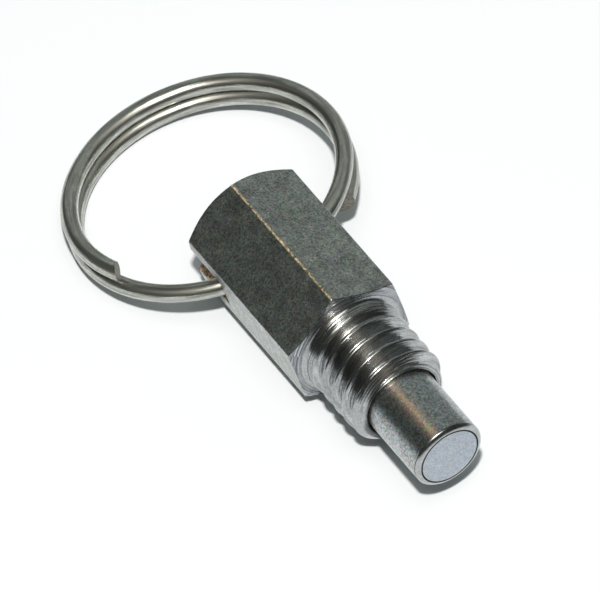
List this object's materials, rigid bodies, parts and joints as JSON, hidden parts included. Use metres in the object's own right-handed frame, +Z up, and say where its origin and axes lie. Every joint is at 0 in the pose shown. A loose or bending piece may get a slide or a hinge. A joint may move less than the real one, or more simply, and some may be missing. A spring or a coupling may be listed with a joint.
{
  "type": "locking pin",
  "caption": "Hand-pulled spring locking pin with a hexagon body, threaded nose, stepped plunger and split pull ring.",
  "frame": {"origin": "centre of the shoulder face, where the hexagon ends and the thread starts", "axes": "+X along the axis towards the pin's free end, +Z up with the pin lying at rest on a table"},
  "size_m": [0.0525, 0.0265, 0.0126],
  "materials": {
    "plated_body": "zinc plated turned steel, satin with fine turning marks",
    "plated_pin": "zinc plated turned steel, satin",
    "spring_wire": "drawn music wire, dull",
    "polished_ring": "bright nickel plated wire, polished"
  },
  "bodies": {
    "body": {"hex_body": "plated_body", "spring": "spring_wire"},
    "plunger": {"plunger": "plated_pin"},
    "ring": {"split_ring": "polished_ring"}
  },
  "joints": [
    {"name": "plunger_pull", "type": "slide", "parent": "body", "child": "plunger", "axis": [-1, 0, 0], "range_m": [0, 0.0075], "stiffness_N_per_m": 1100, "springref_m": -0.004, "deforming": ["spring"]},
    {"name": "ring_swing", "type": "hinge", "parent": "plunger", "child": "ring", "pos_m": [-0.0116, 0, 0], "axis": [0, 0.9925, 0.1219], "range_deg": [-12, 26]}
  ]
}
